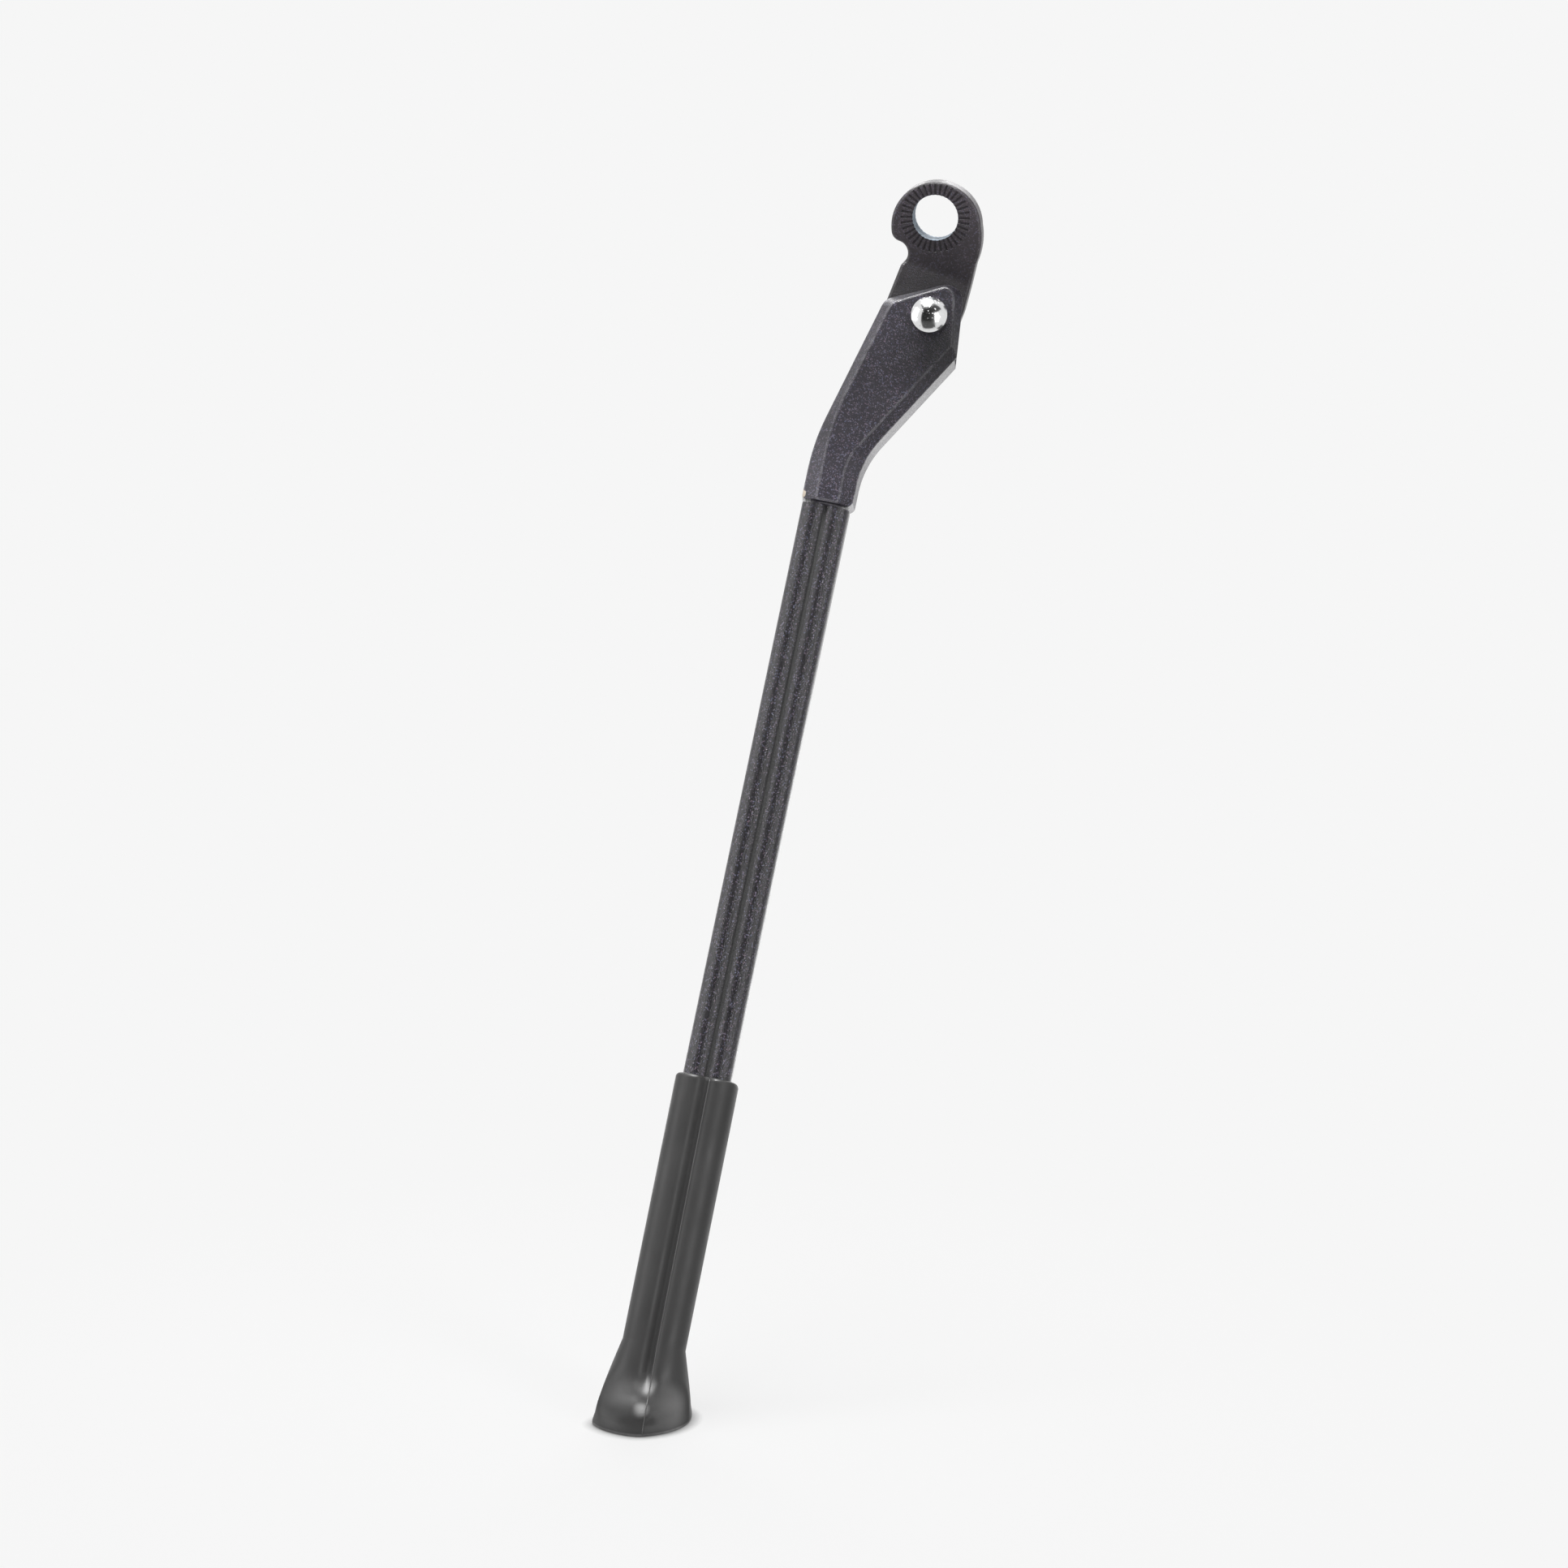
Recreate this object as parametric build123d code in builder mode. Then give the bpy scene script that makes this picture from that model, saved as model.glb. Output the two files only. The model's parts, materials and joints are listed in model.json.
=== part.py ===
# Bicycle kickstand for a rear axle, in millimetres.
# World frame: the axle eye's bore lies along Y, outboard is -Y, the bicycle's rear is +X and up is +Z.
# The origin is the centre of the eye on its inboard seat; the leg is down, ready to stand on.
import os
from math import atan2, cos, degrees, exp, radians, sin, sqrt, tan

from build123d import *

os.makedirs("parts", exist_ok=True)

# Bracket
plate = 6.0
bore_r = 6.1
eye_r = 12.05
eye_centre = (1.0, -2.35)
eye_leave = 22.0
neck_lean = 20.0
bend_angle = 22.0
bend_drop = 13.8
bend_inner_r = 5.0
neck_left = 12.3
neck_right = 8.0
neck_bulge = (13.9, -2.1)
neck_top = (14.5, -8.0)
neck_wide_at = -21.0
neck_corner_r = 12.0
notch_r = 3.3
notch_centre = (-6.7, -12.85)
notch_top_r = 3.0
notch_low_r = 1.8
plate_edge_r = 0.9
serrations = 36
serration_end_r = 9.0
serration_w = 0.7
serration_depth = 0.3
serration_slope = 35.0

# Pivot
pivot_side = 8.1
pivot_drop = 13.2
tongue_r = 8.0
pin_r = 3.25
pin_play = 0.05
stop_gap = 0.3
side_gap = 0.3
leg_turn = 10.0
fold_angle = 90.0

# Fork head, with corners seen from the front as (across the leg, up the leg) from the pivot
cheek = 4.0
leg_x = -16.55
facet_level = 4.0
head_bottom = -54.6
head_half_w = 6.8
front_half_w = 3.0
top_left = (-12.5, 2.35)
top_right = (7.4, 11.85)
fork_right = (9.4, -9.3)
waist_right = -41.4
waist_left = -39.3
face_top_left = (-10.5, 1.25)
face_top_right = (4.85, 9.6)
face_fork_right = (7.7, -6.8)
face_waist_right = -42.2
face_waist_left = -32.5
wall_draft = 1.1
head_edge_r = 0.5
slot_corner_r = 2.0
spigot_len = 24.0
spigot_w = 8.8
spigot_d = 8.0
spigot_corner_r = 1.6
spigot_play = 0.05

# Rivet
rivet_head_r = 4.8
rivet_rim = 0.4
rivet_dome = 2.1
rivet_tail_r = 4.3
rivet_tail = 1.3

# Detent
detent_lean = 22.0
detent_flat = 7.2
detent_clear = 0.2
plunger_r = 3.2
plunger_play = 0.05
plunger_len = 9.0
plunger_nose = 1.4
plunger_tail_r = 1.6
plunger_tail = 2.0
detent_bore_end = 30.0
spring_wire_r = 0.45
spring_r = 2.45
spring_turns = 6
spring_play = 0.05

# Leg tube
tube_gap = 0.9
tube_end = -287.0
tube_half_w = 6.4
tube_half_d = 6.7
tube_lobe_r = 3.6
groove_floor_r = 0.6
leg_pin_r = 1.5
leg_pin_cover = 0.7
leg_pin_edge = 0.3

# Boot
boot_top = -210.7
boot_half_w = 8.4
boot_half_d = 8.7
boot_shift_top = 0.2
boot_shift_low = 0.7
flare_from = -282.0
sole_level = -302.4
sole_half_w = 13.0
sole_half_d = 13.6
sole_square = (1.45, 2.1)
sole_skew = 0.2
sole_shift = (1.4, 2.5)
shoulder_shift = 0.75
sole_band = 7.0
sole_draft = 1.1
sole_edge = 0.5
boot_top_edge_r = 1.1
boot_square = (3.0, 3.0)
boot_groove = 1.7
groove_run_out = 0.28
groove_stop = 0.86
boot_groove_spread = 10.0
boot_points = 48
flare_steps = 8
nose_curve = 3.4

# Sizes that follow from those above
half_plate = plate / 2
half_slot = half_plate + side_gap
half_head = half_slot + cheek
tube_top = head_bottom - tube_gap
far = 60.0

# Planes that look outboard: the eye's, the bent tongue's and the leg's
eye_plane = Plane(
    origin=(0, 0, 0),
    x_dir=(cos(radians(neck_lean)), 0, -sin(radians(neck_lean))),
    z_dir=(0, -1, 0),
)
bend_line = Axis(eye_plane.from_local_coords((0, -bend_drop, half_plate)), eye_plane.x_dir)
outboard = eye_plane.z_dir.rotate(bend_line, -bend_angle)
tongue_up = eye_plane.y_dir.rotate(bend_line, -bend_angle)
pivot = bend_line.position + eye_plane.x_dir * pivot_side - tongue_up * pivot_drop
pivot_axis = Axis(pivot, outboard)
tongue_plane = Plane(origin=pivot, x_dir=eye_plane.x_dir, z_dir=outboard)
leg_plane = Plane(origin=pivot, x_dir=eye_plane.x_dir.rotate(pivot_axis, leg_turn), z_dir=outboard)
leg_down = leg_plane.y_dir * -1
detent_way = leg_down.rotate(pivot_axis, -detent_lean)
groove_reach = tube_half_d - tube_lobe_r + sqrt(tube_lobe_r**2 - (tube_half_w - tube_lobe_r) ** 2)
leg_pin_len = groove_reach + spigot_d / 2 - leg_pin_cover
leg_pin_plane = Plane(
    origin=leg_plane.from_local_coords((leg_x, tube_top - spigot_len / 2, -groove_reach)),
    x_dir=leg_plane.x_dir,
    z_dir=outboard,
)


def across_leg(level, shift=0.0):
    """Plane across the leg at a level along it, facing down the leg, with the front at +y."""
    centre = leg_plane.from_local_coords((leg_x + shift, level, 0))
    return Plane(origin=centre, x_dir=leg_plane.x_dir, z_dir=leg_down)


def nearest(sketch, point):
    """The corner of a sketch that is nearest to a point."""
    return sketch.vertices().sort_by_distance(Vector(*point))[0]


def edges_at(builder, way, level):
    """Edges of a part whose middle is at a level across (X), up (Y) or out of (Z) the leg's plane."""
    found = []
    for edge in builder.edges():
        if abs(getattr(leg_plane.to_local_coords(edge.center()), way) - level) < 0.001:
            found.append(edge)
    return found


# Mounting bracket: a bent strip, trimmed to the outline of the eye, the neck and the tongue
side_plane = Plane(origin=(0, 0, 0), x_dir=eye_plane.z_dir, z_dir=eye_plane.x_dir * -1)
mitre = half_plate * tan(radians(bend_angle / 2))
front_bend = (plate, mitre - bend_drop)
back_bend = (0, -mitre - bend_drop)
run_out = (far * sin(radians(bend_angle)), -far * cos(radians(bend_angle)))
neck_left_u = pivot_side - neck_left
neck_right_u = pivot_side + neck_right
eye_right = (
    eye_centre[0] + eye_r * cos(radians(eye_leave)),
    eye_centre[1] + eye_r * sin(radians(eye_leave)),
)
detent_side = tongue_plane.to_local_coords(pivot + detent_way)
detent_turn = degrees(atan2(detent_side.Y, detent_side.X))

with BuildPart() as mounting_bracket:
    with BuildSketch(side_plane) as strip:
        with BuildLine():
            Polyline(
                (0, far),
                (plate, far),
                front_bend,
                (front_bend[0] + run_out[0], front_bend[1] + run_out[1]),
                (back_bend[0] + run_out[0], back_bend[1] + run_out[1]),
                back_bend,
                close=True,
            )
        make_face()
        fillet(nearest(strip, front_bend), bend_inner_r)
        fillet(nearest(strip, back_bend), bend_inner_r + plate)
    extrude(amount=far, both=True)
    with BuildSketch(eye_plane) as trim:
        with Locations(eye_centre):
            Circle(eye_r)
        with BuildLine():
            ThreePointArc(eye_right, neck_bulge, neck_top)
            Polyline(
                neck_top,
                (neck_right_u, neck_wide_at),
                (neck_right_u, -far),
                (neck_left_u, -far),
                (neck_left_u, eye_centre[1]),
                eye_right,
            )
        make_face()
        with Locations(notch_centre):
            Circle(notch_r, mode=Mode.SUBTRACT)
        fillet(nearest(trim, (neck_right_u, neck_wide_at)), neck_corner_r)
        fillet(nearest(trim, (notch_centre[0], notch_centre[1] + notch_r)), notch_top_r)
        fillet(nearest(trim, (neck_left_u, notch_centre[1] - notch_r)), notch_low_r)
    extrude(amount=far, both=True, mode=Mode.INTERSECT)
    across = mounting_bracket.edges().filter_by(Axis.Y) + mounting_bracket.edges().filter_by(bend_line)
    rims = [edge for edge in mounting_bracket.edges() if edge not in across]
    fillet(rims, plate_edge_r)
    with BuildSketch(tongue_plane):
        with Locations((0, far + stop_gap / 2)):
            Rectangle(4 * far, 2 * far)
        Circle(tongue_r)
    extrude(amount=far, both=True, mode=Mode.INTERSECT)
    with BuildSketch(tongue_plane):
        for turn in (detent_turn, detent_turn + fold_angle):
            with Locations(Location((0, 0, 0), (0, 0, turn))):
                with Locations((detent_flat + plunger_r, 0)):
                    Rectangle(2 * plunger_r, 2 * plunger_r + side_gap)
    extrude(amount=plate, both=True, mode=Mode.SUBTRACT)
    with BuildSketch(tongue_plane):
        Circle(pin_r + pin_play)
    extrude(amount=plate, both=True, mode=Mode.SUBTRACT)
    with BuildSketch(eye_plane):
        Circle(bore_r)
    extrude(amount=far, both=True, mode=Mode.SUBTRACT)
    for face_plane, way in ((eye_plane.offset(plate), -1), (eye_plane, 1)):
        with BuildSketch(face_plane):
            with PolarLocations((bore_r + serration_end_r) / 2, serrations):
                Rectangle(serration_end_r - bore_r + serration_w, serration_w)
        extrude(amount=way * serration_depth, taper=serration_slope, mode=Mode.SUBTRACT)
mounting_bracket.part.label = "mounting_bracket"
export_step(mounting_bracket.part, "parts/mounting_bracket.step")

# Fork head: three outlines joined by flat facets, then the slot, the holes and the spigot
left_x = leg_x - head_half_w
right_x = leg_x + head_half_w
face_left_x = leg_x - front_half_w
face_right_x = leg_x + front_half_w
side_radii = (4.0, 4.5, 0.6, 26.0, 1.8, 1.0, 60.0)
face_radii = (2.4, 2.6, 0.5, 14.0, 1.2, 0.7, 60.0)


def head_section(level, corners, radii):
    """Outline of the head at a distance outboard of the pivot's middle, from its top left clockwise."""
    low_right = (corners[3][0], head_bottom)
    low_left = (corners[4][0], head_bottom)
    outline = (*corners[:4], low_right, low_left, corners[4])
    with BuildSketch(leg_plane.offset(level)) as section:
        with BuildLine():
            Polyline(*outline, close=True)
        make_face()
        for corner, radius in zip(outline, radii):
            fillet(nearest(section, corner), radius)
    return section.sketch


with BuildPart() as pivot_head:
    side = head_section(
        facet_level,
        (top_left, top_right, fork_right, (right_x, waist_right), (left_x, waist_left)),
        side_radii,
    )
    back = head_section(
        -half_head,
        (
            top_left,
            top_right,
            (fork_right[0], fork_right[1] - wall_draft),
            (right_x + wall_draft / 2, waist_right),
            (left_x, waist_left),
        ),
        side_radii,
    )
    face = head_section(
        half_head,
        (
            face_top_left,
            face_top_right,
            face_fork_right,
            (face_right_x, face_waist_right),
            (face_left_x, face_waist_left),
        ),
        face_radii,
    )
    loft(sections=[back, side], ruled=True)
    loft(sections=[side, face], ruled=True)
    fillet(edges_at(pivot_head, "Z", -half_head) + edges_at(pivot_head, "Z", half_head), head_edge_r)
    with BuildSketch(tongue_plane) as slot:
        floor = tongue_r + stop_gap
        with BuildLine():
            Polyline(
                (far, -floor),
                (-floor, -floor),
                (-floor, -stop_gap / 2),
                (-far, -stop_gap / 2),
                (-far, far),
                (far, far),
                close=True,
            )
        make_face()
        fillet(nearest(slot, (-floor, -floor)), slot_corner_r)
    extrude(amount=half_slot, both=True, mode=Mode.SUBTRACT)
    with BuildSketch(leg_plane):
        Circle(pin_r)
    extrude(amount=far, both=True, mode=Mode.SUBTRACT)
    with BuildSketch(Plane(origin=pivot + detent_way * detent_flat, x_dir=outboard, z_dir=detent_way)):
        Circle(plunger_r + plunger_play)
    extrude(amount=detent_bore_end - detent_flat, mode=Mode.SUBTRACT)
    with BuildSketch(across_leg(head_bottom)):
        RectangleRounded(spigot_w, spigot_d, spigot_corner_r)
    extrude(amount=spigot_len)
    with BuildSketch(leg_pin_plane):
        Circle(leg_pin_r)
    extrude(amount=leg_pin_len, mode=Mode.SUBTRACT)
pivot_head.part.label = "pivot_head"
export_step(pivot_head.part, "parts/pivot_head.step")


# Rivet: a domed head outboard, a shank through the cheeks and the tongue, and a peened tail
with BuildPart() as pivot_rivet:
    with BuildSketch(Plane(origin=pivot, x_dir=leg_plane.x_dir, z_dir=leg_down)):
        with BuildLine():
            crown = TangentArc(
                (0, half_head + rivet_rim + rivet_dome),
                (rivet_head_r, half_head + rivet_rim),
                tangent=(1, 0),
            )
            tail = TangentArc((0, -half_head - rivet_tail), (rivet_tail_r, -half_head), tangent=(1, 0))
            Polyline(
                crown @ 1,
                (rivet_head_r, half_head),
                (pin_r, half_head),
                (pin_r, -half_head),
                tail @ 1,
            )
            Line(crown @ 0, tail @ 0)
        make_face()
    revolve(axis=pivot_axis)
pivot_rivet.part.label = "pivot_rivet"
export_step(pivot_rivet.part, "parts/pivot_rivet.step")

# Detent plunger: held back here, just clear of the tongue's end
plunger_tip = tongue_r + detent_clear
plunger_base = plunger_tip + plunger_len
with BuildPart() as detent_plunger:
    with BuildSketch(Plane(origin=pivot, x_dir=outboard, z_dir=outboard.cross(detent_way))):
        with BuildLine():
            nose = TangentArc((0, plunger_tip), (plunger_r, plunger_tip + plunger_nose), tangent=(1, 0))
            Polyline(
                nose @ 1,
                (plunger_r, plunger_base),
                (plunger_tail_r, plunger_base),
                (plunger_tail_r, plunger_base + plunger_tail),
                (0, plunger_base + plunger_tail),
                nose @ 0,
            )
        make_face()
    revolve(axis=Axis(pivot, detent_way))
detent_plunger.part.label = "detent_plunger"
export_step(detent_plunger.part, "parts/detent_plunger.step")

# Detent spring between the plunger and the end of its bore
spring_from = plunger_base + spring_wire_r + spring_play
spring_len = detent_bore_end - spring_wire_r - spring_play - spring_from
with BuildPart() as detent_spring:
    with BuildLine() as coil:
        Helix(
            spring_len / spring_turns,
            spring_len,
            spring_r,
            center=pivot + detent_way * spring_from,
            direction=detent_way,
        )
    with BuildSketch(Plane(origin=coil.line @ 0, z_dir=coil.line % 0)):
        Circle(spring_wire_r)
    sweep(is_frenet=True)
detent_spring.part.label = "detent_spring"
export_step(detent_spring.part, "parts/detent_spring.step")


def tube_section(level, grow=0.0):
    """Section of the leg: four round corners that meet in a groove at the front and at the back."""
    with BuildSketch(across_leg(level)) as section:
        Rectangle(2 * (tube_half_w + grow), 2 * (tube_half_d - tube_lobe_r))
        with GridLocations(2 * (tube_half_w - tube_lobe_r), 2 * (tube_half_d - tube_lobe_r), 2, 2):
            Circle(tube_lobe_r + grow)
        fillet(section.vertices().filter_by_position(Axis.X, -0.01, 0.01), groove_floor_r)
    return section.sketch


# Leg tube, open at both ends
with BuildPart() as leg_tube:
    extrude(to_extrude=tube_section(tube_top), amount=tube_top - tube_end)
    with BuildSketch(across_leg(tube_top)):
        RectangleRounded(
            spigot_w + 2 * spigot_play,
            spigot_d + 2 * spigot_play,
            spigot_corner_r + spigot_play,
        )
    extrude(amount=tube_top - tube_end, mode=Mode.SUBTRACT)
    with BuildSketch(leg_pin_plane):
        Circle(leg_pin_r)
    extrude(amount=groove_reach, both=True, mode=Mode.SUBTRACT)
leg_tube.part.label = "leg_tube"
export_step(leg_tube.part, "parts/leg_tube.step")

# Spring pin across the leg and the spigot, pressed in from the groove at the back
with BuildPart() as leg_pin:
    with BuildSketch(leg_pin_plane):
        Circle(leg_pin_r)
    extrude(amount=leg_pin_len)
    chamfer(leg_pin.edges().filter_by(GeomType.CIRCLE), leg_pin_edge)
leg_pin.part.label = "leg_pin"
export_step(leg_pin.part, "parts/leg_pin.step")


def boot_section(plane, half_w, half_d, squares, groove, skew=0.0):
    """Closed outline from a rounded square to a rounded diamond, with a soft groove at the front."""
    points = []
    for step in range(boot_points):
        turn = 360 * step / boot_points
        square = squares[0] if cos(radians(turn)) < 0 else squares[1]
        side_part = abs(cos(radians(turn)) / half_w) ** square
        front_part = abs(sin(radians(turn)) / half_d) ** square
        reach = (side_part + front_part) ** (-1 / square)
        reach -= groove * exp(-(((turn - 90) / boot_groove_spread) ** 2))
        side, front = reach * cos(radians(turn)), reach * sin(radians(turn))
        points.append((side, front - skew * side))
    with BuildSketch(plane) as section:
        with BuildLine():
            Spline(*points, periodic=True)
        make_face()
    return section.sketch


# Rubber boot: a sleeve over the leg, a flare that turns level, and a diamond sole with its nose outboard
sleeve_top = across_leg(boot_top, boot_shift_top)
sleeve_low = across_leg(flare_from, boot_shift_low)
leg_low = across_leg(flare_from).origin
to_ground = (sole_level - leg_low.Z) / leg_down.Z
sole_middle = leg_low + leg_down * to_ground + Vector(*sole_shift, 0)
shoulder_half_w = sole_half_w - sole_draft
shoulder_half_d = sole_half_d - sole_draft
level_across = Vector(0, 0, 1).cross(outboard)
shoulder_lean = Vector(0, 0, 1) + level_across * (shoulder_shift / sole_band)
sole_top = sole_middle + shoulder_lean * sole_band


def sole_section(inset, height):
    """Level outline of the foot at a height above the ground, drawn in from the sole's edge."""
    section_plane = Plane(
        origin=sole_middle + shoulder_lean * height,
        x_dir=level_across,
        z_dir=(0, 0, -1),
    )
    half_w, half_d = sole_half_w - inset, sole_half_d - inset
    return boot_section(section_plane, half_w, half_d, sole_square, 0, sole_skew)


with BuildPart() as foot_boot:
    loft(
        sections=[
            boot_section(sleeve_top, boot_half_w, boot_half_d, boot_square, boot_groove),
            boot_section(sleeve_low, boot_half_w, boot_half_d, boot_square, boot_groove),
        ],
        ruled=True,
    )
    fillet(edges_at(foot_boot, "Y", boot_top), boot_top_edge_r)
    flare = []
    for step in range(flare_steps + 1):
        share = step / flare_steps
        groove_left = (groove_stop - share) / groove_run_out
        section_plane = Plane(
            origin=sleeve_low.origin * (1 - share) + sole_top * share,
            x_dir=leg_plane.x_dir * (1 - share) + level_across * share,
            z_dir=leg_down * (1 - share) + Vector(0, 0, -1) * share,
        )
        flare.append(
            boot_section(
                section_plane,
                boot_half_w + (shoulder_half_w - boot_half_w) * share,
                boot_half_d + (shoulder_half_d - boot_half_d) * share**nose_curve,
                [top + (low - top) * share for top, low in zip(boot_square, sole_square)],
                boot_groove * min(1, max(0, groove_left)),
                sole_skew * share,
            )
        )
    for share in (0.5, 1):
        height = sole_band * (1 - share) + sole_edge * share
        flare.append(sole_section(sole_draft * (1 - share), height))
    for turn in (45, 90):
        flare.append(sole_section(sole_edge * (1 - cos(radians(turn))), sole_edge * (1 - sin(radians(turn)))))
    loft(sections=flare)
    extrude(to_extrude=tube_section(boot_top), amount=boot_top - tube_end, mode=Mode.SUBTRACT)
foot_boot.part.label = "foot_boot"
export_step(foot_boot.part, "parts/foot_boot.step")
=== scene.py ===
import json
from math import cos, radians, sin

import bmesh
import bpy
from bpy.props import FloatProperty, FloatVectorProperty, IntProperty, PointerProperty
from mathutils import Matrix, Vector


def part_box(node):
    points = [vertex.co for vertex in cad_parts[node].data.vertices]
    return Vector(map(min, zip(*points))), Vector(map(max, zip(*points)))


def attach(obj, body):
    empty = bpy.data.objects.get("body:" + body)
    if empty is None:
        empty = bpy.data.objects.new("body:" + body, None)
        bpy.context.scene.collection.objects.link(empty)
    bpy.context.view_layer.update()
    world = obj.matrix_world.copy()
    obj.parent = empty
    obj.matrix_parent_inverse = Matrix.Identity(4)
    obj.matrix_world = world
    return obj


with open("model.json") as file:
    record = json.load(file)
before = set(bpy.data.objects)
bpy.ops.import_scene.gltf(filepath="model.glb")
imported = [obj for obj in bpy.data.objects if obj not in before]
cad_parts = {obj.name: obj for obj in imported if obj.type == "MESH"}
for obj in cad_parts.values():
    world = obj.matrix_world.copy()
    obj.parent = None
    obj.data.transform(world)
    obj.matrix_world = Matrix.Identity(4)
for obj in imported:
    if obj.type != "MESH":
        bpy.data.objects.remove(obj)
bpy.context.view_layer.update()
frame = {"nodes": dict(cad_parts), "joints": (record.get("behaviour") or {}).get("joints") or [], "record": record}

bl_info = {
    "name": "Bicycle kickstand finishes",
    "version": (1, 0, 0),
    "blender": (4, 5, 0),
    "location": "View3D > Sidebar > Kickstand",
    "description": "Coatings, rubber and a small studio for a folding bicycle kickstand",
    "category": "Object",
}

# The leg's own directions: out of the fork's plane, up the leg and across it
FOLD = next(joint for joint in frame["joints"] if joint["name"] == "fold")
PIVOT = Vector(FOLD["pos_m"])
OUTBOARD = Vector(FOLD["axis"]).normalized()
LEG_UP = Vector((0.149122, 0.368915, 0.917422))
LEG_ACROSS = LEG_UP.cross(OUTBOARD).normalized()

# The bracket's eye: its bore lies along Y through the origin, and the serrations on both its faces end
# within SERRATED_R; PLATE_HALF is half the plate's thickness
AXLE_EYE = next(mount for mount in frame["record"]["mounts"] if mount["name"] == "axle_eye")
BORE_R = AXLE_EYE["dims"]["r_mm"] / 1000
BORE_LINE = Vector((0, 1, 0))
PLATE_HALF = 0.003
EYE_MIDDLE = Vector((0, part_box("mounting_bracket")[1].y - PLATE_HALF, 0))
SERRATED_R = 0.0095

# Levels of the sole, whose rim gets a painted highlight, and of the crease round the foot, which gets painted
# shade
UPWARD = Vector((0, 0, 1))
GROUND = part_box("foot_boot")[0].z
SOLE_LEVEL = Vector((0, 0, GROUND))
CREASE_LEVEL = Vector((0, 0, GROUND + 0.0062))


def on_leg(across, up, out):
    """A point given in the leg's own directions from the pivot."""
    return PIVOT + LEG_ACROSS * across + LEG_UP * up + OUTBOARD * out


# Places on the head: painted light left of the rivet, painted shade right of it, a chip to the bare casting, and
# the lower end where the painted light towards the bottom is full
PAINTED_LIGHT_AT = on_leg(-0.0115, -0.0030, 0.0073)
PAINTED_SHADE_AT = on_leg(0.0050, -0.0080, 0.0073)
CHIPPED = on_leg(-0.0233, -0.0534, 0.0040)
PAINTED_LIGHT_BASE = on_leg(0, -0.052, 0)

# Grooves down the leg and the boot, darkened with painted shade, the groove's end on the boot, the edge of the
# painted shade in the foot's crease, and a painted highlight on the foot
TUBE_GROOVE = on_leg(-0.0166, 0, 0)
BOOT_GROOVE = on_leg(-0.0158, 0, 0)
GROOVE_END = on_leg(0, -0.288, 0)
CREASE_END = on_leg(-0.0185, 0, 0)
PAINTED_SHEEN_AT = Vector((-0.0515, -0.1250, -0.2965))

# The moulding seam: where it starts across the leg, how far it drifts on the sleeve and on the foot, the
# corners of its section, and a distance in front of the boot from which its way is found
SEAM_START = -0.0155
SLEEVE_SHARE = 0.75
SLEEVE_DRIFT = 0.0008
FOOT_DRIFT = 0.0009
SEAM_CORNERS = 6
BEFORE_BOOT = 0.05

# Ways that the foot's swells lean: up and forward, straight forward, and forward to the right
LEAN_UP = Vector((0.058, -0.595, 0.801))
LEAN_FRONT = Vector((0.000, -1.000, 0.000))
LEAN_RIGHT = Vector((0.464, -0.831, 0.308))

# Rounded swells on the foot: place, reach, the way each one leans and how strongly
SWELLS = (
    (Vector((-0.0588, -0.1250, -0.2904)), 0.0042, LEAN_UP, 2.0),
    (Vector((-0.0589, -0.1283, -0.2931)), 0.0034, LEAN_FRONT, 0.32),
    (Vector((-0.0593, -0.1310, -0.2958)), 0.0034, LEAN_UP, 3.0),
    (Vector((-0.0525, -0.1265, -0.2960)), 0.0065, LEAN_UP, 2.0),
    (Vector((-0.0510, -0.1245, -0.2971)), 0.0090, LEAN_RIGHT, 4.5),
    (Vector((-0.0678, -0.1262, -0.2930)), 0.0090, LEAN_UP, 1.7),
)

# The floor: half its width and its gap under the sole
FLOOR_HALF = 8.0
FLOOR_GAP = 0.00005

# The foot's shadow: a circle under the foot, a wider one round it, and how much the floor glows at each
FOOT_R = 0.014
FOOT_GLOW = 0.10
NEAR_R = 0.050
NEAR_GLOW = 0.80

# Lamps: name, place, aim, width and height, the setting of its power, and if gloss and matt surfaces show it
LAMP_AIM = Vector((-0.03, -0.05, -0.12))
BACK_LAMP_AT = Vector((0.05, 0.40, GROUND + 0.004))
LAMPS = (
    ("top_lamp", (-0.15, -0.05, 1.30), LAMP_AIM, (0.7, 0.6), "top_power", True, True),
    ("left_lamp", (-1.24, -0.53, 0.38), LAMP_AIM, (0.6, 1.2), "left_power", True, True),
    ("right_lamp", (1.25, -1.20, 0.32), LAMP_AIM, (0.4, 1.1), "right_power", True, True),
    ("glint_lamp", (-0.15, -0.05, 1.30), LAMP_AIM, (0.5, 0.4), "glint_power", True, False),
    ("fill_lamp", (-0.3, -2.2, 0.45), LAMP_AIM, (1.2, 1.2), "fill_power", False, True),
    ("rear_lamp", (-0.15, 1.15, 0.50), LAMP_AIM, (1.2, 0.5), "rear_power", True, True),
    ("back_lamp", BACK_LAMP_AT, BACK_LAMP_AT + UPWARD, (0.7, 0.5), "back_power", True, True),
)

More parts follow.
